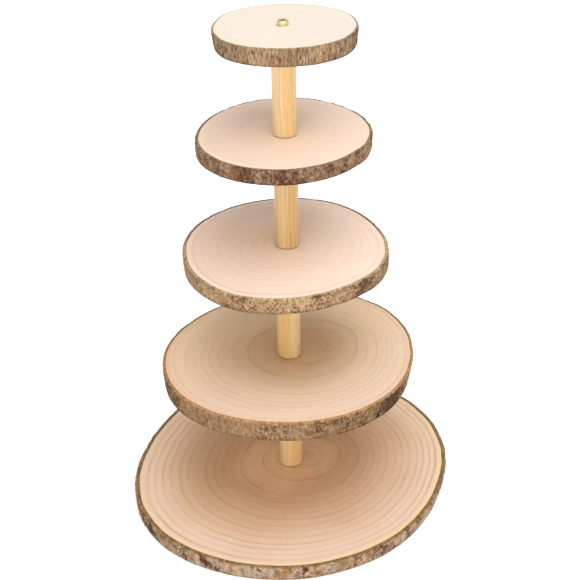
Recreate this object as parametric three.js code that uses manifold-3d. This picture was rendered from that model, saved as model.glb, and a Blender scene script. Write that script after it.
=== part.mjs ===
// A rustic five-tier cake stand: live-edge wood slices threaded on one line of turned posts.
// Units are millimetres. +Z is up and the front is -Y. The origin is on the line of the posts,
// at the surface that the stand rests on.

import * as THREE from 'three';
import { mergeVertices } from 'three/addons/utils/BufferGeometryUtils.js';
import Module from 'manifold-3d';

const wasm = await Module();
wasm.setup();

// ---- Driving dimensions ----

const GAP = 0.3; // clearance between pieces that touch
const POST_RADIUS = 11;
const POST_CHAMFER = 0.8;
const POST_LENGTHS = [103.7, 101.1, 94.4, 83.8]; // from the bottom post to the top one
const FOOT_EASE = 0.8; // the bark of the bottom slice stops this far above the table

const THREAD_RADIUS = 2.5; // M5
const THREAD_ENGAGEMENT = 11; // how far a stud or screw reaches into an insert
const INSERT_RADIUS = 4;
const INSERT_LENGTH = 13;
const INSERT_RIDGE = 0.5;
const BORE_SPARE = 3; // free depth behind an insert

const HEAD_RADIUS = 4.9;
const HEAD_HEIGHT = 3.3;
const SOCKET_SPAN = 4; // across the flats of the hexagon
const SOCKET_DEPTH = 2;
const WASHER_RADIUS = 5.2;
const WASHER_THICKNESS = 0.9;
const COUNTERBORE_RADIUS = 7.5;
const COUNTERBORE_DEPTH = 6.5;

// The slices, from the foot up. An outline is a circle of the given radius about the post line plus
// four slow waves, each a height and the direction in degrees of its crest: the first shifts the
// slice sideways, the second makes it oval, the third three-cornered and the fourth four-cornered.
const TIERS = [
  { radius: 157.2, waves: [[0.3, -108], [11.1, 76], [1.1, -14], [1, 25]], thickness: 15.5, bark: 4.5,
    wood: 0xd6b18c, skin: 0x93796a },
  { radius: 120, waves: [[2.3, 70], [5.1, 64], [1.9, -55], [0.6, -40]], thickness: 18, bark: 3,
    wood: 0xe0bf98, skin: 0x8d7863 },
  { radius: 96.1, waves: [[3.2, -133], [5.3, 84], [0.9, -15], [1.2, -22]], thickness: 14.5, bark: 3.5,
    wood: 0xe6c5a2, skin: 0x94806a },
  { radius: 78.5, waves: [[4.5, 107], [3.1, 75], [0.9, -22], [0.5, 4]], thickness: 14.5, bark: 3,
    wood: 0xe9c9aa, skin: 0x86705a },
  { radius: 59.9, waves: [[1.4, -27], [2.1, 5], [0.5, -3], [0.6, 40]], thickness: 16.5, bark: 2,
    wood: 0xf3e2c8, skin: 0x8c7355 },
];

const OUTLINE_STEPS = 60;
const POST_SIDES = 24;
const METAL_SIDES = 12;
const HEAD_SIDES = 20;

// ---- Materials ----

const matte = (color, roughness) => new THREE.MeshStandardMaterial({ color, roughness, metalness: 0 });
const brass = () => new THREE.MeshStandardMaterial({ color: 0xc9a856, roughness: 0.32, metalness: 1 });
const zinc = () => new THREE.MeshStandardMaterial({ color: 0xb9bcc0, roughness: 0.35, metalness: 1 });

// ---- Helpers ----

// The solid that a closed three.js geometry encloses.
function solid(geometry) {
  const bare = geometry.clone();
  bare.deleteAttribute('normal');
  bare.deleteAttribute('uv');
  const merged = mergeVertices(bare, 1e-4);
  return new wasm.Manifold(new wasm.Mesh({
    numProp: 3,
    vertProperties: Float32Array.from(merged.attributes.position.array),
    triVerts: Uint32Array.from(merged.index.array),
  }));
}

// The three.js geometry of a solid.
function surface(body) {
  const mesh = body.getMesh();
  const geometry = new THREE.BufferGeometry();
  geometry.setAttribute('position', new THREE.BufferAttribute(mesh.vertProperties, 3));
  geometry.setIndex(new THREE.BufferAttribute(mesh.triVerts, 1));
  return geometry;
}

// A solid of revolution about Z from a profile of [radius, height] pairs.
function turned(profile, sides) {
  const points = profile.map(([radius, height]) => new THREE.Vector2(radius, height));
  return new THREE.LatheGeometry(points, sides).rotateX(Math.PI / 2);
}

function cylinder(radius, bottom, top, sides) {
  return turned([[0, bottom], [radius, bottom], [radius, top], [0, top]], sides);
}

function named(name, geometry, material) {
  const mesh = new THREE.Mesh(geometry, material);
  mesh.name = name;
  return mesh;
}

// ---- Slices ----

// Distance from the post line to the edge of a slice's wood, in a given direction.
function edgeRadius(tier, angle) {
  const wave = ([height, crest], order) =>
    height * Math.cos((order + 1) * (angle - THREE.MathUtils.degToRad(crest)));
  return tier.radius + tier.waves.map(wave).reduce((sum, value) => sum + value);
}

// The outline of a slice's wood, moved outward by a distance.
function outline(tier, outward) {
  const points = [];
  for (let step = 0; step < OUTLINE_STEPS; step += 1) {
    const angle = (2 * Math.PI * step) / OUTLINE_STEPS;
    const reach = edgeRadius(tier, angle) + outward;
    points.push(new THREE.Vector2(reach * Math.cos(angle), reach * Math.sin(angle)));
  }
  return points;
}

// The wood of a slice, lying on Z = 0, with the hole for its stud or screw.
function slabGeometry(tier) {
  const shape = new THREE.Shape(outline(tier, 0));
  const hole = new THREE.Path();
  hole.absarc(0, 0, THREAD_RADIUS + GAP, 0, 2 * Math.PI, true);
  shape.holes.push(hole);
  return new THREE.ExtrudeGeometry(shape, {
    depth: tier.thickness,
    bevelEnabled: false,
    curveSegments: METAL_SIDES,
  });
}

// The foot has a counterbore underneath for the head of its screw.
function footGeometry(tier) {
  const counterbore = cylinder(COUNTERBORE_RADIUS, -1, COUNTERBORE_DEPTH, HEAD_SIDES);
  return surface(solid(slabGeometry(tier)).subtract(solid(counterbore)));
}

// The bark that runs round a slice.
function barkGeometry(tier, ease) {
  const shape = new THREE.Shape(outline(tier, tier.bark));
  shape.holes.push(new THREE.Path(outline(tier, GAP)));
  const ring = new THREE.ExtrudeGeometry(shape, {
    depth: tier.thickness - ease,
    bevelEnabled: false,
  });
  return ring.translate(0, 0, ease);
}

// ---- Posts and their fasteners ----

// A turned post standing on Z = 0, with a blind bore for an insert in each end.
function postGeometry(length) {
  const bore = INSERT_RADIUS + INSERT_RIDGE + GAP;
  const depth = INSERT_LENGTH + BORE_SPARE;
  return turned([
    [0, depth],
    [bore, depth],
    [bore, 0],
    [POST_RADIUS - POST_CHAMFER, 0],
    [POST_RADIUS, POST_CHAMFER],
    [POST_RADIUS, length - POST_CHAMFER],
    [POST_RADIUS - POST_CHAMFER, length],
    [bore, length],
    [bore, length - depth],
    [0, length - depth],
  ], POST_SIDES);
}

// A threaded insert: an open sleeve on Z = 0 with two ridges that grip the wood.
function insertGeometry() {
  const inner = THREAD_RADIUS + GAP;
  const ridge = INSERT_RADIUS + INSERT_RIDGE;
  const profile = [[inner, 0], [INSERT_RADIUS, 0]];
  for (const crest of [INSERT_LENGTH * 0.35, INSERT_LENGTH * 0.7]) {
    profile.push([INSERT_RADIUS, crest - 1], [ridge, crest], [INSERT_RADIUS, crest + 1]);
  }
  profile.push([INSERT_RADIUS, INSERT_LENGTH], [inner, INSERT_LENGTH], [inner, 0]);
  return turned(profile, METAL_SIDES);
}

// A stud threaded at both ends, standing on Z = 0.
function studGeometry(length) {
  const tip = THREAD_RADIUS - 0.6;
  return turned([
    [0, 0],
    [tip, 0],
    [THREAD_RADIUS, 0.8],
    [THREAD_RADIUS, length - 0.8],
    [tip, length],
    [0, length],
  ], METAL_SIDES);
}

// A button-head screw with a hexagon socket. The head sits on Z = 0 and the shank points down.
function screwGeometry(reach) {
  const crown = 0.55 * HEAD_HEIGHT; // height of the straight rim, below the domed crown
  const profile = [
    [0, -reach],
    [THREAD_RADIUS - 0.6, -reach],
    [THREAD_RADIUS, 0.8 - reach],
    [THREAD_RADIUS, 0],
    [HEAD_RADIUS, 0],
  ];
  for (const turn of [0, 0.25, 0.5, 0.75, 1]) {
    const angle = (turn * Math.PI) / 2;
    const radius = HEAD_RADIUS - 0.45 * HEAD_RADIUS * (1 - Math.cos(angle));
    profile.push([radius, crown + (HEAD_HEIGHT - crown) * Math.sin(angle)]);
  }
  profile.push([0, HEAD_HEIGHT]);
  const socket = cylinder(SOCKET_SPAN / Math.sqrt(3), HEAD_HEIGHT - SOCKET_DEPTH, HEAD_HEIGHT + 1, 6);
  return surface(solid(turned(profile, HEAD_SIDES)).subtract(solid(socket)));
}

// A flat washer lying on Z = 0.
function washerGeometry() {
  const inner = THREAD_RADIUS + GAP;
  return turned([
    [inner, 0],
    [WASHER_RADIUS, 0],
    [WASHER_RADIUS, WASHER_THICKNESS],
    [inner, WASHER_THICKNESS],
    [inner, 0],
  ], HEAD_SIDES);
}

// ---- Assembly ----

const stand = new THREE.Group();

function place(mesh, height) {
  mesh.position.z = height;
  stand.add(mesh);
  return mesh;
}

let height = 0;
TIERS.forEach((tier, index) => {
  const level = index + 1;
  const isFoot = index === 0;
  const isTop = index === TIERS.length - 1;
  const name = `tier_${level}`;

  const wood = isFoot ? footGeometry(tier) : slabGeometry(tier);
  const skin = barkGeometry(tier, isFoot ? FOOT_EASE : 0);
  place(named(`${name}_slab`, wood, matte(tier.wood, 0.6)), height);
  place(named(`${name}_bark`, skin, matte(tier.skin, 0.95)), height);

  const top = height + tier.thickness;
  if (!isFoot && !isTop) {
    const length = tier.thickness + 2 * (GAP + THREAD_ENGAGEMENT);
    place(named(`stud_${level}`, studGeometry(length), zinc()), height - GAP - THREAD_ENGAGEMENT);
  }
  if (isTop) {
    const washerBase = top + GAP;
    const headBase = washerBase + WASHER_THICKNESS + GAP;
    const reach = headBase - height + GAP + THREAD_ENGAGEMENT;
    place(named('top_washer', washerGeometry(), brass()), washerBase);
    place(named('top_screw', screwGeometry(reach), brass()), headBase);
    return;
  }

  const post = `post_${level}`;
  const length = POST_LENGTHS[index];
  const base = top + GAP;
  const upperInsert = base + length - INSERT_LENGTH - GAP;
  place(named(post, postGeometry(length), matte(0xe3bd83, 0.5)), base);
  place(named(`${post}_lower_insert`, insertGeometry(), brass()), base + GAP);
  place(named(`${post}_upper_insert`, insertGeometry(), brass()), upperInsert);
  height = base + length + GAP;
});

// The foot's screw and washer point up from inside the counterbore.
function placeUpward(mesh, height) {
  place(mesh, height).rotation.x = Math.PI;
}

const footWasher = COUNTERBORE_DEPTH - GAP;
const footHead = footWasher - WASHER_THICKNESS - GAP;
const footReach = TIERS[0].thickness + GAP + THREAD_ENGAGEMENT - footHead;
placeUpward(named('bottom_washer', washerGeometry(), zinc()), footWasher);
placeUpward(named('bottom_screw', screwGeometry(footReach), zinc()), footHead);

export default stand;
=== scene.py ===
"""The look of a five-tier cake stand: live-edge wood slices threaded on turned posts.

Lengths are in mm unless a comment says otherwise, and become metres in meshes and materials.
Directions in the tables are in degrees anticlockwise from +X, seen from above. The front is -Y.
"""

import itertools
import math

import bpy
import numpy as np
from mathutils import Matrix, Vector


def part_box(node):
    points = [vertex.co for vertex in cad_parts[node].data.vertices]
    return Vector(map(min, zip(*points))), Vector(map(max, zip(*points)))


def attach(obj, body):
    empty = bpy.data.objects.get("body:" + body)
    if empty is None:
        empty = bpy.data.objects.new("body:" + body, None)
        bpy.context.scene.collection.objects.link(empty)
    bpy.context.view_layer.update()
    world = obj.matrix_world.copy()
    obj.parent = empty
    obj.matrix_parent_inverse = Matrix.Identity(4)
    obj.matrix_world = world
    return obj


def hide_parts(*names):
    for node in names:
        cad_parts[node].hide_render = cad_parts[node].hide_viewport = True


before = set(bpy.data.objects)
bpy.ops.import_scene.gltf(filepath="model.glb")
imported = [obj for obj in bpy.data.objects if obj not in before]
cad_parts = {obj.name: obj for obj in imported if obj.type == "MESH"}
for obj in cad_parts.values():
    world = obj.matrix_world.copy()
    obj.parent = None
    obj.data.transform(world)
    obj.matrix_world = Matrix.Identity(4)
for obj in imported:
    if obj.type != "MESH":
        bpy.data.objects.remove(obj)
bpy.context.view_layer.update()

MM = 0.001

# ---- Camera and light ----

CAMERA_PLACE = (0, -1.358, 0.9311)  # metres
CAMERA_DOWN = 28.08  # degrees below level
CAMERA_YAW = -0.078
CAMERA_ROLL = -1.10
CAMERA_LENS = 102.54
ROOM_LIGHT = 0.41
FLOOR_GLOW = 0.3
# For each lamp: its strength, its width in degrees as seen from the stand, and how far it is tipped
# from overhead towards the front and towards the right.
LAMPS = {
    "key": (1.8, 50, 18, 8),
    "fill": (1.5, 60, 62, 2),
}

# ---- How each slice looks ----
# pith: the centre of the growth rings. heart: the middle of the darker wood.
# rings: where each dark ring lies, as a share of the way from the pith to the edge of the wood,
# and how strong it is. wobble: how much the rings wander. ring_depth and ring_tint: how dark they
# are, and their tint.
# wood: colours by share of the way outwards from the heart.
# core: the size in mm and the colour of a stain round the pith.
# rim: the colour of the last few mm. rim_side: the direction where it is strongest, and how strong
# it still is on the other side.
# sides: a direction, and the painted light and shade tints of the wood on that side and on the other side.
# lean: how far the lower edge lies inside the upper edge: all round, and extra in a direction.

SLICES = {
    1: dict(
        pith=(15, 9),
        heart=(-6, 12),
        rings=[(0.05, 0.5), (0.12, 0.5), (0.26, 1.0), (0.40, 1.1), (0.46, 0.4), (0.51, 0.6), (0.56, 0.5),
               (0.61, 0.9), (0.67, 0.5), (0.72, 0.9), (0.77, 0.9), (0.83, 0.9), (0.87, 1.0), (0.92, 1.1),
               (0.96, 1.5)],
        wobble=0.16,
        ring_depth=0.31,
        ring_tint=(0.62, 0.51, 0.43),
        core=(10, (0.66, 0.43, 0.235)),
        # partly painted light: the heart is paler than the ring round it, lifting the shade that the tier
        # above casts near the post
        wood=[(0, (0.76, 0.52, 0.31)), (0.26, (0.71, 0.47, 0.275)), (0.4, (0.575, 0.36, 0.20)),
              (0.52, (0.61, 0.40, 0.245)), (0.74, (0.69, 0.49, 0.335)), (0.92, (0.77, 0.59, 0.45))],
        sides=(110, (1.03, 0.98, 0.90), (0.965, 0.95, 0.96)),
        rim=(0.80, 0.61, 0.36),
        rim_side=(-45, 0.1),
        lean=(1.7, 1.9, -50),
    ),
    2: dict(
        pith=(27, 17),
        heart=(12, 12),
        rings=[(0.06, 0.7), (0.13, 0.7), (0.29, 0.7), (0.46, 1.6), (0.56, 0.3), (0.66, 0.9), (0.72, 0.6),
               (0.77, 0.7), (0.82, 0.7), (0.88, 0.6), (0.96, 1.0)],
        wobble=0.2,
        ring_depth=0.22,
        ring_tint=(0.64, 0.50, 0.42),
        core=(20, (0.54, 0.335, 0.205)),
        wood=[(0, (0.58, 0.38, 0.22)), (0.28, (0.55, 0.38, 0.23)), (0.5, (0.663, 0.505, 0.365)),
              (0.64, (0.75, 0.588, 0.44)), (0.9, (0.79, 0.615, 0.49))],
        sides=(110, (1.03, 1.00, 0.85), (0.94, 0.935, 0.91)),
        rim=(0.76, 0.52, 0.335),
        rim_side=(-150, 0.6),
        lean=(3.1, 3.0, 70),
    ),
    3: dict(
        pith=(-3, 0),
        # partly painted shade: the darker middle is set towards the back left, where the tier above casts
        # its shadow
        heart=(-22, 24),
        rings=[(0.22, 0.6), (0.34, 0.3), (0.47, 0.8), (0.58, 0.3), (0.69, 0.6), (0.78, 0.5), (0.86, 0.3),
               (0.945, 1.5)],
        wobble=0.12,
        ring_depth=0.16,
        ring_tint=(0.62, 0.52, 0.48),
        core=(12, (0.76, 0.59, 0.44)),
        wood=[(0, (0.79, 0.615, 0.455)), (0.35, (0.82, 0.675, 0.54)), (0.8, (0.843, 0.68, 0.56))],
        sides=(10, (1.05, 1.07, 1.10), (0.95, 0.92, 0.90)),
        rim=(0.86, 0.69, 0.54),
        rim_side=(-90, 0.5),
        lean=(0.4, 0.2, -120),
    ),
    4: dict(
        pith=(2, 4),
        heart=(2, 4),
        rings=[(0.28, 0.5), (0.42, 0.4), (0.60, 0.5), (0.79, 0.4), (0.91, 0.8)],
        wobble=0.3,
        ring_depth=0.1,
        ring_tint=(0.72, 0.54, 0.42),
        core=(9, (0.88, 0.70, 0.55)),
        wood=[(0, (0.905, 0.73, 0.565)), (0.35, (0.895, 0.713, 0.56)), (0.8, (0.845, 0.67, 0.548))],
        sides=(45, (1.06, 1.06, 1.09), (0.985, 0.97, 0.965)),
        rim=(0.86, 0.69, 0.54),
        rim_side=(-60, 0.5),
        lean=(0.7, 0.6, -50),
    ),
    5: dict(
        pith=(-3, 5),
        heart=(-3, 5),
        rings=[(0.38, 0.5), (0.68, 0.5), (0.9, 0.6)],
        wobble=0.4,
        ring_depth=0.05,
        ring_tint=(0.80, 0.66, 0.52),
        core=(8, (0.90, 0.79, 0.66)),
        wood=[(0, (0.885, 0.79, 0.685)), (0.8, (0.89, 0.795, 0.69))],
        sides=(0, (1.0, 1.0, 1.0), (1.0, 1.0, 0.98)),
        rim=(0.92, 0.79, 0.60),
        rim_side=(-160, 0.3),
        lean=(1.9, 1.0, 118),
    ),
}

# All sawn wood drifts between these two tints.
YELLOWER = (1.0, 1.0, 0.97)
PINKER = (1.0, 0.975, 0.985)

# ---- How each ring of bark looks ----
# relief: the height of its ridges. across and along: their size round the slice and up its side.
# spot: the size of its dark spots. spots: how much of the bark they cover, from -1 to 1, and how
# softly they darken. cluster: the size of their clusters, and how strongly they keep to them.
# stretch_tone_and_shade: the direction of each darker stretch, its half width in degrees, and how much
# darker it is, or paler below 0. Stretches across the front are the bark's own colour; those towards the
# ends of a ring are painted shade.
# chips: how deep the upper edge is broken. flecks: how many pale flecks of lichen it has.
# pale, warm and dark: colours of the bark's crust, of the patches where it is thin, and of its spots.
# inner: the soft inner bark that shows from above, and how far it reaches from the wood.
# back: the colour that the inner bark is painted towards the back of the ring, as painted light and shade.

BARKS = {
    1: dict(relief=0.8, across=4.5, along=6, spot=2.6, spots=(-0.08, 0.9), cluster=(13, 1.2),
            stretch_tone_and_shade=[(-150, 25, 0.2)], chips=0.3, flecks=0.4,
            pale=(0.42, 0.305, 0.205), warm=(0.30, 0.17, 0.088), dark=(0.08, 0.034, 0.016),
            inner=((0.29, 0.165, 0.068), 3.8), back=(0.24, 0.155, 0.085)),
    2: dict(relief=0.5, across=3.0, along=4.5, spot=1.4, spots=(0.1, 1.0), cluster=(9, 0.45),
            stretch_tone_and_shade=[(-38, 16, 0.9), (-60, 20, 0.3), (-120, 25, -0.5), (-165, 25, 0.4)],
            chips=0.2, flecks=0.2,
            pale=(0.31, 0.20, 0.11), warm=(0.29, 0.16, 0.073), dark=(0.075, 0.034, 0.017),
            inner=((0.47, 0.26, 0.115), 3.2), back=(0.25, 0.16, 0.09)),
    3: dict(relief=0.5, across=2.6, along=3.6, spot=1.3, spots=(0.05, 0.85), cluster=(10, 0.5),
            stretch_tone_and_shade=[(-47, 16, 0.9), (-22, 16, 0.3), (-74, 8, 0.4), (-112, 6, 0.3)], chips=0.25, flecks=0.4,
            pale=(0.455, 0.305, 0.16), warm=(0.40, 0.26, 0.13), dark=(0.13, 0.055, 0.035),
            inner=((0.57, 0.39, 0.23), 2.6), back=(0.18, 0.135, 0.115)),
    4: dict(relief=0.7, across=3.2, along=5, spot=1.7, spots=(0.05, 0.9), cluster=(9, 0.6),
            stretch_tone_and_shade=[(-115, 16, 0.6), (-92, 22, 0.6), (-63, 10, 0.5)], chips=0.5, flecks=0.2,
            pale=(0.32, 0.205, 0.125), warm=(0.24, 0.12, 0.055), dark=(0.10, 0.04, 0.02),
            inner=((0.40, 0.24, 0.14), 1.6), back=(0.19, 0.145, 0.125)),
    5: dict(relief=0.7, across=1.8, along=8, spot=1.2, spots=(0.05, 0.9), cluster=(7, 0.25),
            stretch_tone_and_shade=[(180, 50, 0.35), (0, 50, 0.35)], chips=0.2, flecks=0.2,
            pale=(0.39, 0.265, 0.155), warm=(0.34, 0.205, 0.115), dark=(0.10, 0.045, 0.024),
            inner=((0.55, 0.42, 0.29), 1.2), back=(0.56, 0.49, 0.41)),
}
LICHEN = (0.60, 0.50, 0.41)  # the colour of the flecks

# ---- How each post looks ----
# pith: the middle of the tree that the post was cut from. spacing: between its growth rings.
# stripe: how far to the right its warm stripe lies.

POSTS = {
    1: dict(pith=(-46, -20), spacing=3.4, ring_depth=0.22, stripe=4, base=(0.82, 0.58, 0.29)),
    2: dict(pith=(30, 44), spacing=3.0, ring_depth=0.20, stripe=-2, base=(0.77, 0.54, 0.265)),
    3: dict(pith=(70, -6), spacing=3.8, ring_depth=0.45, stripe=5, base=(0.70, 0.49, 0.24)),
    4: dict(pith=(-60, 12), spacing=3.4, ring_depth=0.22, stripe=4, base=(0.81, 0.59, 0.315)),
}

# ---- Sizes of the fasteners ----

PITCH = 0.8  # of an M5 thread
THREAD_DEPTH = 0.45
INSERT_PITCH = 1.75  # of the coarse thread that holds an insert in the wood
INSERT_THREAD_DEPTH = 0.55
INSERT_RIM = 0.9  # how far the end faces of an insert stay inside its thread
INSERT_LEAD = 0.5  # from the ends of an insert to its outer thread
BORE_THREAD_DEPTH = 0.2
THREAD_FIT = 0.02  # how far an insert's threads stay inside its walls
METAL_EASE = 0.3  # the width of the eased edges of inserts and screws
TIP = 0.5  # the width of the chamfer at the end of a threaded rod
TIP_GAP = 0.1  # how far the chamfer stays inside the thread
SHANK = 2.5  # the radius of an M5 thread
HEAD_HEIGHT = 3.3
SIDE_HEIGHT = 0.55 * HEAD_HEIGHT  # of the head's straight side, below its rounded edge
DOME_REACH = 0.78  # how much of the head's radius its dome takes up; the rounded edge has the rest
DOME_FALL = 0.22  # how steeply the dome falls, as a share of the head's height above its side
SOCKET_SPAN = 4.0  # across the flats of the hexagon in the screw head
SOCKET_DEPTH = 1.9
SOCKET_WALL = (0.12, -0.1)  # where its wall starts and ends, outwards from the flats
HEAD_EASE = 0.2  # along the edge of the head's underside
NECK = 0.15  # the fillet between the head and the shank
NECK_LENGTH = 1.2  # from the head to the thread


# ---- Smooth repeatable noise for shaping meshes ----


class Noise:
    """Gradient noise in space. It takes an array of points and gives values from about -1 to 1."""

    def __init__(self, seed):
        random = np.random.default_rng(seed)
        self.order = random.permutation(256)
        slopes = random.normal(size=(256, 3))
        self.slopes = slopes / np.linalg.norm(slopes, axis=1, keepdims=True)

    def single(self, points):
        cell = np.floor(points).astype(int)
        local = points - cell
        ease = local**3 * (local * (local * 6 - 15) + 10)
        total = np.zeros(points.shape[:-1])
        for corner in itertools.product((0, 1), repeat=3):
            at = cell + corner
            pick = self.order[at[..., 0] % 256]
            pick = self.order[(pick + at[..., 1]) % 256]
            pick = self.order[(pick + at[..., 2]) % 256]
            weight = np.where(corner, ease, 1 - ease).prod(-1)
            total += weight * (self.slopes[pick] * (local - corner)).sum(-1)
        return total * 1.6

    def __call__(self, points, size, layers=1):
        """Noise whose features have the given size or sizes; each further layer is twice as fine."""
        total = np.zeros(points.shape[:-1])
        for layer in range(layers):
            total += self.single(points / size * 2**layer + 17.3 * layer) / 2**layer
        return total


def smoothstep(low, high, value):
    share = np.clip((value - low) / (high - low), 0, 1)
    return share * share * (3 - 2 * share)


# ---- Meshes ----


def directions(count):
    return np.arange(count) * 2 * np.pi / count


def spun(rows, angle):
    """Places[profile point, direction] from (radius, height) rows; either may vary by direction."""
    grid = np.empty((len(rows), len(angle), 3))
    for row, (radius, height) in enumerate(rows):
        grid[row, :, 0] = radius * np.cos(angle)
        grid[row, :, 1] = radius * np.sin(angle)
        grid[row, :, 2] = height
    return grid


def skin_mesh(name, grid, values=None, capped=False, sharp=40):
    """A piece from grid[profile point, direction], closed round the post line. The profile runs
    outwards along the top and inwards along the bottom. It is a closed loop, unless the piece is
    capped: then its first and last rows lie on the post line."""
    rows, around = grid.shape[:2]
    points = grid.reshape(-1, 3)
    index = np.arange(len(points)).reshape(rows, around)
    if capped:
        points = np.concatenate([grid[:1, 0], grid[1:-1].reshape(-1, 3), grid[-1:, 0]])
        index = np.clip(index - around + 1, 0, len(points) - 1)
        index[0] = 0
    faces = []
    for row in range(rows - 1 if capped else rows):
        here = index[row]
        below = index[(row + 1) % rows]
        quads = np.stack([here, below, np.roll(below, -1), np.roll(here, -1)], 1)
        if capped and row == 0:
            quads = quads[:, :3]
        elif capped and row == rows - 2:
            quads = quads[:, [0, 1, 3]]
        faces += quads.tolist()
    mesh = bpy.data.meshes.new(name)
    mesh.from_pydata((points * MM).tolist(), [], faces)
    for label, value in (values or {}).items():
        layer = mesh.attributes.new(label, "FLOAT", "POINT")
        layer.data.foreach_set("value", value.reshape(-1).astype(np.float32))
    mesh.polygons.foreach_set("use_smooth", [True] * len(mesh.polygons))
    mesh.set_sharp_from_angle(angle=math.radians(sharp))
    piece = bpy.data.objects.new(name, mesh)
    bpy.context.collection.objects.link(piece)
    return piece


def settle(piece, material, body, node):
    """Gives a piece its material, and makes it stand for a CAD node and move with a CAD body."""
    piece.data.materials.append(material)
    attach(piece, body)
    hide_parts(node)


# ---- Materials ----


class Look:
    """A node material, with a short call for each kind of node that it needs."""

    def __init__(self, name, **sockets):
        self.material = bpy.data.materials.new(name)
        self.material.use_nodes = True
        self.tree = self.material.node_tree
        self.shader = self.tree.nodes["Principled BSDF"]
        for socket, value in sockets.items():
            self.shader.inputs[socket.replace("_", " ")].default_value = value
        self.place = self.node("TexCoord", {}, "Object")

    def node(self, kind, inputs, output=0, **settings):
        node = self.tree.nodes.new("ShaderNode" + kind)
        for setting, value in settings.items():
            setattr(node, setting, value)
        for socket, value in inputs.items():
            if isinstance(value, bpy.types.NodeSocket):
                self.tree.links.new(value, node.inputs[socket])
            else:
                node.inputs[socket].default_value = value
        return node.outputs[output]

    def value(self, name):
        """A value that the mesh holds at each point."""
        return self.node("Attribute", {}, "Fac", attribute_name=name)

    def math(self, operation, first, second=0.0):
        return self.node("Math", {0: first, 1: second}, operation=operation)

    def sum(self, first, second):
        return self.math("ADD", first, second)

    def times(self, first, second):
        return self.math("MULTIPLY", first, second)

    def noise(self, size, detail=2.0, where=None, roughness=0.5, distortion=0.0):
        """Noise from about 0.2 to 0.8, with features of a size in mm."""
        inputs = {"Vector": where or self.place, "Scale": 1 / (size * MM), "Detail": detail,
                  "Roughness": roughness, "Distortion": distortion}
        return self.node("TexNoise", inputs, "Fac")

    def cells(self, size, where=None):
        """Distance to the nearest of scattered points about one size apart, from 0 to about 1."""
        inputs = {"Vector": where or self.place, "Scale": 1 / (size * MM)}
        return self.node("TexVoronoi", inputs, "Distance")

    def scaled(self, scale, where=None):
        return self.node("VectorMath", {0: where or self.place, 1: scale}, operation="MULTIPLY")

    def fit(self, value, low, high, to_low=0.0, to_high=1.0):
        """Takes low..high to to_low..to_high, smoothly, and no further."""
        inputs = {"Value": value, "From Min": low, "From Max": high, "To Min": to_low, "To Max": to_high}
        return self.node("MapRange", inputs, interpolation_type="SMOOTHSTEP")

    def mix(self, factor, first, second, blend="MIX"):
        """One colour turned into another; a colour is a socket or three numbers."""
        first, second = (c if isinstance(c, bpy.types.NodeSocket) else (*c, 1.0) for c in (first, second))
        return self.node("Mix", {0: factor, 6: first, 7: second}, 2, data_type="RGBA", blend_type=blend)

    def shade(self, color, factor):
        """A colour made lighter or darker by a factor near 1."""
        return self.node("VectorMath", {0: color, "Scale": factor}, operation="SCALE")

    def ramp(self, value, stops):
        """Colours along a value, from (position, colour) stops."""
        node = self.tree.nodes.new("ShaderNodeValToRGB")
        self.tree.links.new(value, node.inputs[0])
        elements = node.color_ramp.elements
        while len(elements) < len(stops):
            elements.new(0.5)
        for element, (position, color) in zip(elements, stops):
            element.position = position
            element.color = (*color, 1.0)
        return node.outputs[0]

    def finish(self, color, roughness, height, depth):
        """Joins the colour, the roughness and a bump of a depth in mm to the shader."""
        normal = self.node("Bump", {"Height": height, "Distance": depth * MM, "Strength": 1.0})
        for socket, value in (("Base Color", color), ("Roughness", roughness), ("Normal", normal)):
            self.tree.links.new(value, self.shader.inputs[socket])
        return self.material


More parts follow.
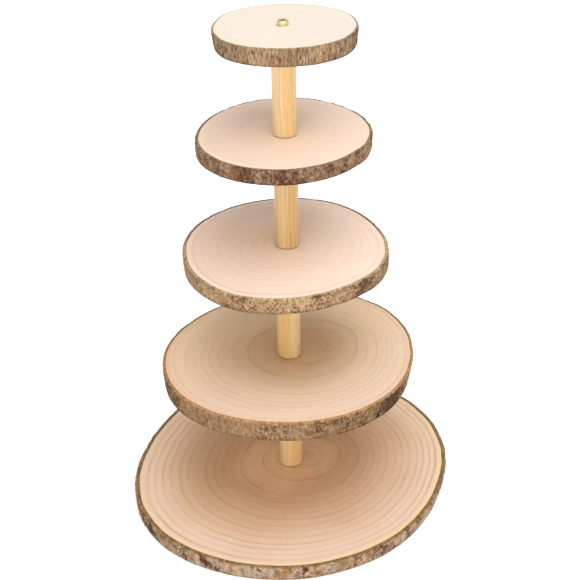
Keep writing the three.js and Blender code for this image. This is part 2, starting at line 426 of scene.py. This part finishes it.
def slice_wood(name, look):
    """Sanded end grain: growth rings about the pith, rays, pores and a band along the rim."""
    wood = Look(name, Specular_IOR_Level=0.35, Coat_Weight=0.06, Coat_Roughness=0.35)
    rim = wood.value("rim")
    wander = wood.noise(55, 2)
    ripple = wood.noise(5, 2)
    cloud = wood.noise(60, 3)

    growth = wood.value("growth")
    growth = wood.sum(growth, wood.times(wood.sum(wander, -0.5), 3 * look["wobble"]))
    growth = wood.sum(growth, wood.times(wood.sum(ripple, -0.5), 0.06))
    late = wood.math("POWER", wood.math("FRACT", growth), 2.5)
    year = wood.times(wood.math("FLOOR", growth), 3.7)
    swell = wood.math("POWER", wood.math("FRACT", growth), wood.value("spacing"))
    line = wood.times(swell, wood.math("SUBTRACT", 1.0, wood.math("POWER", swell, 4.0)))
    line = wood.times(line, wood.value("strength"))

    spoke = wood.node("VectorMath", {0: wood.place, 1: (*(c * MM for c in look["pith"]), 0)},
                      operation="SUBTRACT")
    spoke = wood.node("VectorMath", {0: wood.scaled((1, 1, 0), spoke)}, operation="NORMALIZE")
    which = wood.node("CombineXYZ", {"Z": year})
    which = wood.node("VectorMath", {0: spoke, 1: which}, operation="ADD")
    fade = wood.node("TexNoise", {"Vector": which, "Scale": 1.2, "Detail": 2.0}, "Fac")
    line = wood.times(line, wood.fit(fade, 0.36, 0.62, 0.3, 1.5))
    fine = wood.node("TexNoise", {"W": wood.times(growth, 6.0), "Scale": 1.0, "Detail": 1.0}, "Fac",
                     noise_dimensions="1D")
    band_tone = wood.node("TexNoise", {"W": year, "Scale": 1.0}, "Fac", noise_dimensions="1D")
    blush = wood.sum(wood.noise(28, 3, distortion=0.6), wood.times(wood.sum(band_tone, -0.5), 0.3))
    ray = wood.node("TexNoise", {"Vector": spoke, "Scale": 42.0, "Detail": 3.0}, "Fac")
    pore = wood.cells(0.9)
    grit = wood.noise(0.7, 2)

    tone = wood.sum(wood.value("tone"), wood.times(wood.sum(cloud, -0.5), 0.3))
    color = wood.ramp(tone, look["wood"])
    # painted light and shade: the wood takes one tint on its lit side and another on its shaded side,
    # blended across the slice
    _, near_tint, far_tint = look["sides"]
    color = wood.mix(1.0, color, wood.mix(wood.fit(wood.value("side"), -0.9, 0.9), far_tint, near_tint),
                     "MULTIPLY")
    color = wood.mix(1.0, color, wood.mix(wood.fit(blush, 0.36, 0.64), YELLOWER, PINKER), "MULTIPLY")
    size, stain = look["core"]
    core = wood.sum(wood.value("core"), wood.times(wood.sum(wood.noise(9, 3), -0.5), 1.6 * size))
    color = wood.mix(wood.fit(core, 0.3 * size, size, 0.85, 0.0), color, stain)
    band = wood.fit(wood.sum(rim, wood.times(wander, -4.0)), 0.0, 3.5, 1.0, 0.0)
    color = wood.mix(wood.times(band, wood.value("cream")), color, look["rim"])
    dark = wood.mix(1.0, color, look["ring_tint"], "MULTIPLY")
    color = wood.mix(wood.times(line, 2 * look["ring_depth"]), color, dark)
    light = wood.fit(fine, 0.25, 0.75, 1 - 0.12 * look["ring_depth"], 1 + 0.08 * look["ring_depth"])
    shade = wood.sum(wood.times(late, wood.value("strength")), wood.times(wood.sum(band_tone, -0.5), -1.2))
    light = wood.times(light, wood.fit(shade, -0.5, 1.3, 1 + 0.05 * look["ring_depth"],
                                       1 - 0.17 * look["ring_depth"]))
    light = wood.times(light, wood.fit(ray, 0.3, 0.7, 0.99, 1.01))
    light = wood.times(light, wood.fit(grit, 0.3, 0.7, 0.97, 1.025))
    light = wood.times(light, wood.fit(pore, 0.0, 0.3, 0.94, 1.0))
    light = wood.times(light, wood.fit(rim, 0.0, 0.5, 0.85, 1.0))
    color = wood.shade(color, light)

    roughness = wood.fit(wood.sum(line, grit), 0.3, 1.2, 0.46, 0.62)
    height = wood.sum(wood.times(grit, 0.4), wood.times(line, -0.5))
    return wood.finish(color, roughness, height, 0.05)


def bark_skin(name, look):
    """Natural bark: pale crust, clusters of dark spots, and soft inner bark by the wood, with painted light
    and shade on its ridges, crevices and lower edge and on its inner bark at the back.
    """
    bark = Look(name, Specular_IOR_Level=0.1)
    away = bark.value("away")
    grain = bark.scaled((1, 1, look["across"] / look["along"]))
    mottle = bark.noise(look["across"], 4, grain, 0.6)
    speck = bark.noise(look["spot"], 3, grain, 0.6)
    grit = bark.noise(0.5, 2)
    lichen = bark.noise(16, 3)
    patch = bark.noise(12, 3, grain)
    fleck = bark.noise(1.3, 2)

    cover = bark.sum(bark.times(bark.sum(speck, -0.5), 3.2), bark.times(bark.sum(mottle, -0.5), 1.3))
    cover = bark.sum(cover, bark.value("cluster"))
    pale, dark = look["pale"], look["dark"]
    light_crust = [min(0.9, c * 1.12) for c in pale]
    dull_crust = [p * 0.72 + d * 0.25 for p, d in zip(pale, dark)]
    crust = bark.mix(bark.fit(bark.sum(speck, lichen), 0.8, 1.2), light_crust, dull_crust)
    crust = bark.mix(bark.fit(bark.sum(patch, bark.times(mottle, 0.5)), 0.66, 0.92), crust, look["warm"])
    color = bark.mix(bark.fit(cover, -0.15, look["spots"][1]), crust, dark)
    color = bark.mix(bark.fit(bark.sum(fleck, bark.times(lichen, 0.3)), 0.78, 0.86, 0.0, look["flecks"]),
                     color, LICHEN)
    inner, reach = look["inner"]
    soft = bark.mix(bark.fit(speck, 0.35, 0.65), [c * 1.08 for c in inner], [c * 0.8 for c in inner])
    # painted light and shade: the inner bark takes its back colour towards the back of the ring
    soft = bark.mix(bark.value("back"), soft, look["back"])
    edge = bark.sum(away, bark.times(bark.sum(mottle, -0.5), 1.3 * reach))
    color = bark.mix(bark.fit(edge, reach - 0.6, reach + 0.9, 1.0, 0.0), color, soft)
    # painted light and shade: ridges of the relief are lighter and its crevices darker
    light = bark.fit(bark.value("relief"), -0.9, 0.8, 0.62, 1.18)
    light = bark.times(light, bark.fit(grit, 0.3, 0.7, 0.88, 1.12))
    light = bark.times(light, bark.fit(away, 0.1, 0.7, 0.62, 1.0))
    # painted shade: the bark darkens towards its lower edge
    light = bark.times(light, bark.fit(bark.value("foot"), 0.0, 3.5, 0.7, 1.0))
    color = bark.shade(color, light)

    roughness = bark.fit(mottle, 0.3, 0.7, 0.78, 0.95)
    height = bark.sum(bark.times(mottle, 1.0), bark.sum(bark.times(speck, 0.7), bark.times(grit, 0.3)))
    return bark.finish(color, roughness, height, 0.7)


def pine(name, look):
    """Turned pine: long growth rings seen from the side, with fine streaks along the grain."""
    wood = Look(name, Specular_IOR_Level=0.4, Coat_Weight=0.12, Coat_Roughness=0.3)
    along = wood.scaled((1, 1, 0.04))
    bend = wood.noise(9, 2, wood.scaled((1, 1, 0.12)))
    streak = wood.noise(1.1, 3, along, 0.6)
    fibre = wood.noise(0.35, 2, along)
    cloud = wood.noise(30, 2, wood.scaled((1, 1, 0.4)))

    arm = wood.node("VectorMath", {0: wood.place, 1: (*(c * MM for c in look["pith"]), 0)},
                    operation="SUBTRACT")
    reach = wood.node("VectorMath", {0: wood.scaled((1, 1, 0.012), arm)}, "Value", operation="LENGTH")
    growth = wood.times(reach, 1 / (look["spacing"] * MM))
    growth = wood.sum(growth, wood.times(wood.sum(bend, -0.5), 1.6))
    phase = wood.math("FRACT", growth)
    line = wood.times(wood.math("POWER", phase, 3.0), wood.fit(phase, 0.9, 1.0, 1.0, 0.0))
    which = wood.times(wood.math("FLOOR", growth), 3.7)
    which = wood.node("TexNoise", {"W": which, "Scale": 1.0}, "Fac", noise_dimensions="1D")
    line = wood.times(line, wood.fit(which, 0.35, 0.65, 0.25, 1.4))

    base = look["base"]
    side = wood.node("SeparateXYZ", {0: wood.place})
    side = wood.sum(side, wood.times(wood.sum(cloud, -0.5), 12 * MM))
    off = wood.math("ABSOLUTE", wood.sum(side, -look["stripe"] * MM))
    warm = [c * t for c, t in zip(base, (0.95, 0.86, 0.70))]
    color = wood.mix(wood.fit(off, 1 * MM, 7 * MM), warm, base)
    color = wood.mix(wood.times(line, 2.4 * look["ring_depth"]), color,
                     [c * t for c, t in zip(base, (0.72, 0.55, 0.38))])
    light = wood.fit(streak, 0.3, 0.7, 0.93, 1.05)
    light = wood.times(light, wood.fit(fibre, 0.3, 0.7, 0.96, 1.03))
    # painted shade: the pine darkens within 1.6 mm of each end, where the post meets a slice
    light = wood.times(light, wood.fit(wood.value("end"), 0.0, 1.6, 0.62, 1.0))
    color = wood.shade(color, light)
    roughness = wood.fit(streak, 0.3, 0.7, 0.38, 0.52)
    return wood.finish(color, roughness, wood.sum(streak, wood.times(fibre, 0.4)), 0.06)


def metal(name, base, tarnish):
    """Satin plated metal with faint stains, fine scratches and painted shade in its recesses."""
    plate = Look(name, Metallic=0.7)
    stain = plate.noise(2.2, 4)
    scratch = plate.noise(0.12, 2, plate.scaled((1, 1, 0.2)))
    color = plate.mix(plate.fit(stain, 0.4, 0.75), base, tarnish)
    color = plate.shade(color, plate.fit(scratch, 0.3, 0.7, 0.93, 1.05))
    # painted shade: the socket darkens the deeper it lies below the head's shoulder
    color = plate.shade(color, plate.fit(plate.value("below"), 0.1, 1.2, 1.0, 0.3))
    roughness = plate.fit(stain, 0.3, 0.7, 0.3, 0.5)
    return plate.finish(color, roughness, scratch, 0.01)


# ---- Reading the CAD model ----

NEAR = 1  # lengths that differ by less count as one and the same
EDGE_ROUGHNESS = 0.6  # how far the edge of the wood wanders from its smooth outline
EDGE_WANDER = 30  # the size of its bumps


def ends(node):
    """The lowest and highest level of a CAD node."""
    low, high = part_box(node)
    return low.z / MM, high.z / MM


def corners(node):
    """Distance from the post line, direction and level of each corner of a CAD node."""
    x, y, z = np.array([tuple(v.co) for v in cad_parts[node].data.vertices]).T / MM
    return np.hypot(x, y), np.arctan2(y, x), z


def waves(angle):
    """The slow waves that a slice's outline is made of."""
    orders = range(1, 5)
    terms = [wave(order * angle) for order in orders for wave in (np.cos, np.sin)]
    return np.stack([np.ones_like(angle), *terms], -1)


class Outline:
    """The edge of a slice's wood and of its bark, as they vary with direction."""

    def __init__(self, level):
        self.look = SLICES[level]
        self.low, self.high = ends(f"tier_{level}_slab")
        radius, angle, _ = corners(f"tier_{level}_slab")
        edge = radius > radius.max() / 2
        self.weights = np.linalg.lstsq(waves(angle[edge]), radius[edge], rcond=None)[0]
        self.hole = radius.min()
        radius, angle, height = corners(f"tier_{level}_bark")
        self.bark = (radius - waves(angle) @ self.weights).max()
        self.bark_low = height.min()
        self.noise = Noise(level)

    def edge(self, angle, height):
        """Distance from the post line to the edge of the wood, at a level."""
        points = np.stack([np.cos(angle), np.sin(angle), np.zeros_like(angle)], -1) * self.weights[0]
        rough = EDGE_ROUGHNESS * self.noise(points, EDGE_WANDER, 2)
        lean, extra, towards = self.look["lean"]
        lean = lean + extra * np.cos(angle - math.radians(towards))
        depth = (self.high - height) / (self.high - self.low)
        return waves(angle) @ self.weights + rough - lean * depth


# ---- Slices and bark ----

CHAMFER = 0.15  # along the edges of the sawn faces
HOLE_EASE = 0.3  # round the mouths of holes
SLICE_CELL = 2.6  # the size of the mesh's cells on the sawn faces
BARK_CELL = 0.8
BARK_ROUND = 0.4  # how far the bark's outer edge falls below the sawn face
BARK_GAP = 0.05  # between the bark and its slice
BARK_SINK = 0.05  # how far the whole of its top lies below the sawn face
BARK_CROWN = 2.5  # the stretch down its side that leans in to the upper edge
BARK_CROWN_IN = 0.12  # how far that leans in, as a share of its thickness
BARK_FOOT = 1.5  # the stretch above its lower edge that leans in
BARK_FOOT_IN = 0.2
LINE_SHARPNESS = 0.8  # of the dark line of each growth ring, for each mm between rings
SOFTEST_LINE = 3
RINGS_END = 1.06  # where the last ring would lie, just outside the wood


def make_slab(level):
    outline = Outline(level)
    look = SLICES[level]
    node = f"tier_{level}_slab"
    low, high, hole = outline.low, outline.high, outline.hole
    angle = directions(int(2 * np.pi * outline.weights[0] / SLICE_CELL))
    shares = np.linspace(0, 1, int(outline.weights[0] / SLICE_CELL))
    top_edge = outline.edge(angle, high)
    low_edge = outline.edge(angle, low)

    mouth, floor_hole = hole, []
    if level == 1:
        radius, _, height = corners(node)
        ceiling = height[(height > low + NEAR) & (height < high - NEAR)].max()
        mouth = radius[height < low + NEAR].min()
        floor_hole = [(mouth, ceiling), (hole + HOLE_EASE, ceiling)]
    rows = [(hole + HOLE_EASE + (top_edge - CHAMFER - hole - HOLE_EASE) * share, high) for share in shares]
    rows += [(top_edge, high - CHAMFER), (low_edge, low + CHAMFER)]
    rows += [(mouth + HOLE_EASE + (low_edge - CHAMFER - mouth - HOLE_EASE) * share, low)
             for share in shares[::-1]]
    rows += [(mouth, low + HOLE_EASE), *floor_hole, (hole, high - HOLE_EASE)]
    grid = spun(rows, angle)

    share, reach = share_from(look["pith"], grid, top_edge)
    core = share * reach
    tone = share_from(look["heart"], grid, top_edge)[0]
    places, strengths = np.array(look["rings"]).T
    places = np.concatenate([[0], places, [RINGS_END]])
    growth = np.interp(share, places, np.arange(len(places)))
    strength = np.interp(share, places, [0, *strengths, strengths[-1]])
    spacing = LINE_SHARPNESS * np.interp(share, places[1:], np.diff(places)) * reach
    spacing = np.maximum(spacing, SOFTEST_LINE)
    towards = np.arctan2(grid[..., 1], grid[..., 0])
    rim = outline.edge(towards, high) - np.hypot(grid[..., 0], grid[..., 1])
    side, least = look["rim_side"]
    cream = least + (1 - least) * smoothstep(-0.6, 0.8, np.cos(towards - math.radians(side)))
    # painted light and shade: how far each point lies towards the side that takes the first tint
    across = np.cos(towards - math.radians(look["sides"][0])) * np.hypot(grid[..., 0], grid[..., 1])
    values = dict(tone=tone, core=core, side=across / outline.weights[0], growth=growth,
                  strength=strength, spacing=spacing, rim=rim, cream=cream)
    piece = skin_mesh(f"slice_{level}_wood", grid, values)
    settle(piece, slice_wood(f"slice_{level}_grain", look), body_of_tier(level), node)


def share_from(centre, grid, edge):
    """How far each point lies from a centre towards the wood's edge, as a share and with the whole
    reach in mm. The edge is given as distances from the post line, evenly round it."""
    angle = directions(len(edge))
    x = edge * np.cos(angle) - centre[0]
    y = edge * np.sin(angle) - centre[1]
    seen = np.arctan2(y, x)
    order = np.argsort(seen)
    across = grid[..., :2] - centre
    towards = np.arctan2(across[..., 1], across[..., 0])
    reach = np.interp(towards, seen[order], np.hypot(x, y)[order], period=2 * np.pi)
    return np.hypot(across[..., 0], across[..., 1]) / reach, reach


def body_of_tier(level):
    return "stand" if level == 1 else f"tier_{level}"


def make_bark(level):
    outline = Outline(level)
    look = BARKS[level]
    noise = Noise(40 + level)
    low, high, thick = outline.bark_low, outline.high, outline.bark
    angle = directions(int(2 * np.pi * outline.weights[0] / BARK_CELL))

    top = [(skin, high) for skin in np.linspace(0, 1, 7)]
    side = [(1.0, height) for height in np.linspace(high, low, int((high - low) / BARK_CELL))[1:-1]]
    under = [(skin, low) for skin in np.linspace(1, 0, 4)]
    inside = [(0.0, height) for height in np.linspace(low, high, 6)[1:-1]]
    skin, height = (column[:, None] for column in np.array(top + side + under + inside).T)

    flat = spun([(outline.weights[0], level_z) for level_z in height[:, 0]], angle)
    sizes = np.array([look["across"], look["across"], look["along"]])
    crack = 1 - 2 * np.abs(noise(flat + 90, 2 * sizes, 3))
    relief = np.clip(0.75 * noise(flat, sizes, 4) + 0.35 * (crack - 0.3), -1.2, 1.2)
    size, keep = look["cluster"]
    cluster = look["spots"][0] + keep * noise(flat + 33, np.array([size, size, 1.3 * size]), 2)
    # partly painted shade: stretches towards the ends of a ring darken it as shade; those across the front
    # are the bark's own colour
    for towards, width, darker in look["stretch_tone_and_shade"]:
        turned = np.degrees(np.arccos(np.cos(angle - math.radians(towards))))
        cluster += darker * smoothstep(width, 0, turned)
    chip = look["chips"] * smoothstep(0.0, 0.7, noise(flat * [1, 1, 0] + 11, 8, 3))

    shown = smoothstep(0.0, 0.8, skin)
    crown = smoothstep(high - BARK_CROWN, high, height)
    foot = smoothstep(low + BARK_FOOT, low, height)
    radius = outline.edge(angle, height) + BARK_GAP + (thick - BARK_GAP) * skin
    radius += shown * (look["relief"] * relief * (1 - 0.7 * crown - 0.4 * foot) - chip * crown)
    radius -= shown * (BARK_CROWN_IN * thick * crown**2 + BARK_FOOT_IN * foot**2)
    drop = (BARK_ROUND + chip) * smoothstep(0.5, 1.0, skin) * crown + BARK_SINK
    lift = 0.1 * look["relief"] * relief * shown * crown - drop * (height > low)

    grid = np.stack([radius * np.cos(angle), radius * np.sin(angle), height + lift], -1)
    away = thick * skin + high - height
    # painted light and shade: 1 at the back of the ring, where the inner bark takes its back colour
    back = smoothstep(-0.1, 0.6, np.sin(angle))
    # foot: the height above the lower edge, for the painted shade there
    values = dict(away=away, foot=height - low, back=back, relief=relief, cluster=cluster)
    values = {name: np.broadcast_to(value, relief.shape) for name, value in values.items()}
    piece = skin_mesh(f"bark_{level}", grid, values, sharp=180)
    settle(piece, bark_skin(f"bark_{level}_skin", look), body_of_tier(level), f"tier_{level}_bark")


# ---- Posts ----

POST_CELL = 3.0
POST_DIRECTIONS = 72
POST_EASE = 1.1
POST_DENT = 0.07  # how far the turned surface departs from a true cylinder
POST_DENT_SIZE = (9, 9, 30)  # dents are long along the grain


def make_post(level):
    node = f"post_{level}"
    low, high = ends(node)
    radius, _, height = corners(node)
    outer = radius.max()
    bore = radius[radius > NEAR].min()
    depth = high - height[(radius > NEAR) & (height > (low + high) / 2)].min()
    angle = directions(POST_DIRECTIONS)
    noise = Noise(80 + level)

    turn = np.linspace(0, np.pi / 2, 5)
    ease = [(outer - POST_EASE * (1 - math.sin(t)), POST_EASE * (1 - math.cos(t))) for t in turn]
    heights = np.linspace(high - POST_EASE, low + POST_EASE, int((high - low) / POST_CELL))[1:-1]
    rows = [(0, high - depth), (bore, high - depth), (bore, high - HOLE_EASE), (bore + HOLE_EASE, high)]
    rows += [(reach, high - drop) for reach, drop in ease]
    rows += [(outer, height) for height in heights]
    rows += [(reach, low + drop) for reach, drop in ease[::-1]]
    rows += [(bore + HOLE_EASE, low), (bore, low + HOLE_EASE), (bore, low + depth), (0, low + depth)]
    grid = spun(rows, angle)
    distance = np.hypot(grid[..., 0], grid[..., 1])
    dents = np.where(distance > outer - 0.1, POST_DENT * noise(grid, np.array(POST_DENT_SIZE), 2), 0)
    grid[..., :2] *= (1 + dents / outer)[..., None]
    # painted shade: the distance to the nearer end, where the pine darkens
    end = np.minimum(grid[..., 2] - low, high - grid[..., 2])[1:-1].reshape(-1)
    values = dict(end=np.concatenate([[depth], end, [depth]]))
    piece = skin_mesh(f"post_{level}_pine", grid, values, capped=True)
    settle(piece, pine(f"pine_{level}", POSTS[level]), "stand", node)


# ---- Fasteners ----

METAL_DIRECTIONS = 40
SCREW_DIRECTIONS = 128  # finer, for the corners of the socket
THREAD_STEPS = 8  # rows of the mesh for each turn of a thread
DOME_STEPS = 60  # fine enough for the walls of the socket
EDGE_STEPS = 9


def thread(major, low, high, angle, pitch=PITCH, depth=THREAD_DEPTH, inward=False):
    """Rows of a screw thread from high to low, fading out at both ends."""
    rows = []
    for height in np.arange(high, low, -pitch / THREAD_STEPS):
        wave = np.abs(((height / pitch - angle / (2 * np.pi)) % 1) * 2 - 1)
        fade = min(1.0, (high - height) / pitch, (height - low) / pitch)
        rows.append((major + depth * wave * fade if inward else major - depth * wave * fade, height))
    return rows


def tip(major, end, inwards):
    """Rows of the chamfered end of a rod, outwards from the post line. inwards is 1 at its lower end
    and -1 at its upper end."""
    return [(0, end), (major - TIP - TIP_GAP, end), (major - TIP_GAP, end + inwards * TIP)]


def make_stud(level, material):
    node = f"stud_{level}"
    low, high = ends(node)
    major = corners(node)[0].max()
    angle = directions(METAL_DIRECTIONS)
    rows = tip(major, high, -1)
    rows += thread(major, low + TIP + TIP_GAP, high - TIP - TIP_GAP, angle)
    rows += tip(major, low, 1)[::-1]
    piece = skin_mesh(f"{node}_rod", spun(rows, angle), capped=True, sharp=60)
    settle(piece, material, "stand", node)


def make_insert(node, material):
    low, high = ends(node)
    radius = corners(node)[0]
    inner, outer = radius.min(), radius.max()
    angle = directions(METAL_DIRECTIONS)
    ease, rim = METAL_EASE, INSERT_RIM
    rows = [(inner + ease, high), (outer - rim, high), (outer - rim + ease, high - ease)]
    rows += thread(outer - THREAD_FIT, low + INSERT_LEAD, high - INSERT_LEAD, angle, INSERT_PITCH,
                   INSERT_THREAD_DEPTH)
    rows += [(outer - rim + ease, low + ease), (outer - rim, low), (inner + ease, low)]
    rows += thread(inner + THREAD_FIT, low + ease, high - ease, angle, depth=BORE_THREAD_DEPTH,
                   inward=True)[::-1]
    piece = skin_mesh(f"{node}_sleeve", spun(rows, angle), sharp=60)
    settle(piece, material, "stand", node)


def make_washer(node, material, body):
    low, high = ends(node)
    radius = corners(node)[0]
    inner, outer = radius.min(), radius.max()
    ease = 0.15
    rows = [(inner + ease, high), (outer - ease, high), (outer, high - ease), (outer, low + ease),
            (outer - ease, low), (inner + ease, low), (inner, low + ease), (inner, high - ease)]
    angle = directions(2 * METAL_DIRECTIONS)
    piece = skin_mesh(f"{node}_plate", spun(rows, angle), sharp=60)
    settle(piece, material, body, node)


def make_screw(node, material, body, upward):
    """A button-head screw with a hexagon socket. With its head down it is mirrored, thread and all."""
    low, high = ends(node)
    radius = corners(node)[0]
    head = radius.max()
    length = high - low
    under = length - HEAD_HEIGHT
    fall = DOME_FALL * (HEAD_HEIGHT - SIDE_HEIGHT)
    shoulder = length - fall * DOME_REACH**2
    angle = directions(SCREW_DIRECTIONS)

    rows = []
    to_flat = np.cos((angle + np.pi / 6) % (np.pi / 3) - np.pi / 6)
    for distance in np.linspace(0, DOME_REACH * head, DOME_STEPS):
        dome = length - fall * (distance / head) ** 2
        outside = distance * to_flat - SOCKET_SPAN / 2
        rows.append((distance, dome - SOCKET_DEPTH * smoothstep(*SOCKET_WALL, outside)))
    side_top = under + SIDE_HEIGHT
    for turn in np.linspace(0, np.pi / 2, EDGE_STEPS)[1:]:
        reach = head * (DOME_REACH + (1 - DOME_REACH) * math.sin(turn))
        rows.append((reach, side_top + (shoulder - side_top) * math.cos(turn)))
    rows += [(head, under + METAL_EASE), (head - HEAD_EASE, under)]
    rows += [(SHANK + NECK, under), (SHANK, under - METAL_EASE)]
    rows += thread(SHANK, TIP + TIP_GAP, under - NECK_LENGTH, angle)
    rows += tip(SHANK, 0, 1)[::-1]
    grid = spun(rows, angle)
    # painted shade: how deep each point of the socket lies below the shoulder, for the metal to darken
    in_socket = (np.hypot(grid[..., 0], grid[..., 1]) < head / 2) & (grid[..., 2] > under)
    below = np.clip(shoulder - grid[..., 2], 0, None) * in_socket
    below = np.concatenate([below[:1, 0], below[1:-1].reshape(-1), below[-1:, 0]])
    if not upward:
        grid[..., 2] = length - grid[..., 2]
        grid = grid[::-1]
        below = below[::-1]
    grid[..., 2] += low
    piece = skin_mesh(f"{node}_solid", grid, dict(below=below), capped=True, sharp=50)
    settle(piece, material, body, node)


# ---- Stage ----

FLOOR_HALF = 8.0  # metres
FLOOR_DROP = 0.2  # keeps the floor clear of the face of the foot


def make_floor():
    mesh = bpy.data.meshes.new("floor")
    signs = [(-1, -1), (1, -1), (1, 1), (-1, 1)]
    mesh.from_pydata([(x * FLOOR_HALF, y * FLOOR_HALF, 0) for x, y in signs], [], [(0, 1, 2, 3)])
    floor = bpy.data.objects.new("floor", mesh)
    floor.location.z = -FLOOR_DROP * MM
    bpy.context.collection.objects.link(floor)
    paint = bpy.data.materials.new("floor_paint")
    paint.use_nodes = True
    shader = paint.node_tree.nodes["Principled BSDF"]
    shader.inputs["Base Color"].default_value = (0.97, 0.97, 0.97, 1)
    shader.inputs["Emission Color"].default_value = (1, 1, 1, 1)
    shader.inputs["Emission Strength"].default_value = FLOOR_GLOW
    shader.inputs["Roughness"].default_value = 0.9
    shader.inputs["Specular IOR Level"].default_value = 0.1
    mesh.materials.append(paint)


def make_lights():
    world = bpy.data.worlds.new("studio")
    bpy.context.scene.world = world
    world.use_nodes = True
    back = world.node_tree.nodes["Background"]
    back.inputs["Color"].default_value = (1, 1, 1, 1)
    back.inputs["Strength"].default_value = ROOM_LIGHT
    for name, (strength, width, front, right) in LAMPS.items():
        light = bpy.data.lights.new(name, "SUN")
        light.energy = strength
        light.angle = math.radians(width)
        lamp = bpy.data.objects.new(name, light)
        lamp.rotation_euler = (math.radians(front), math.radians(right), 0)
        bpy.context.collection.objects.link(lamp)


def make_camera():
    lens = bpy.data.cameras.new("camera")
    lens.lens = CAMERA_LENS
    lens.clip_start = 0.05
    camera = bpy.data.objects.new("camera", lens)
    turn = Matrix.Rotation(math.radians(CAMERA_YAW), 4, "Z")
    tilt = Matrix.Rotation(math.radians(90 - CAMERA_DOWN), 4, "X")
    roll = Matrix.Rotation(math.radians(CAMERA_ROLL), 4, "Z")
    camera.matrix_world = Matrix.Translation(CAMERA_PLACE) @ turn @ tilt @ roll
    bpy.context.collection.objects.link(camera)
    bpy.context.scene.camera = camera
    bpy.context.scene.view_settings.view_transform = "Standard"


# ---- The stand ----

make_camera()
make_lights()
make_floor()

for level in SLICES:
    make_slab(level)
    make_bark(level)

brass = metal("brass", (0.90, 0.79, 0.50), (0.62, 0.53, 0.30))
zinc = metal("zinc", (0.68, 0.69, 0.71), (0.50, 0.50, 0.52))
for level in POSTS:
    make_post(level)
    make_insert(f"post_{level}_lower_insert", brass)
    make_insert(f"post_{level}_upper_insert", brass)
for level in (2, 3, 4):  # the slices between two posts
    make_stud(level, zinc)
make_washer("bottom_washer", zinc, "stand")
make_screw("bottom_screw", zinc, "stand", upward=False)
make_washer("top_washer", brass, "top_washer")
make_screw("top_screw", brass, "top_screw", upward=True)
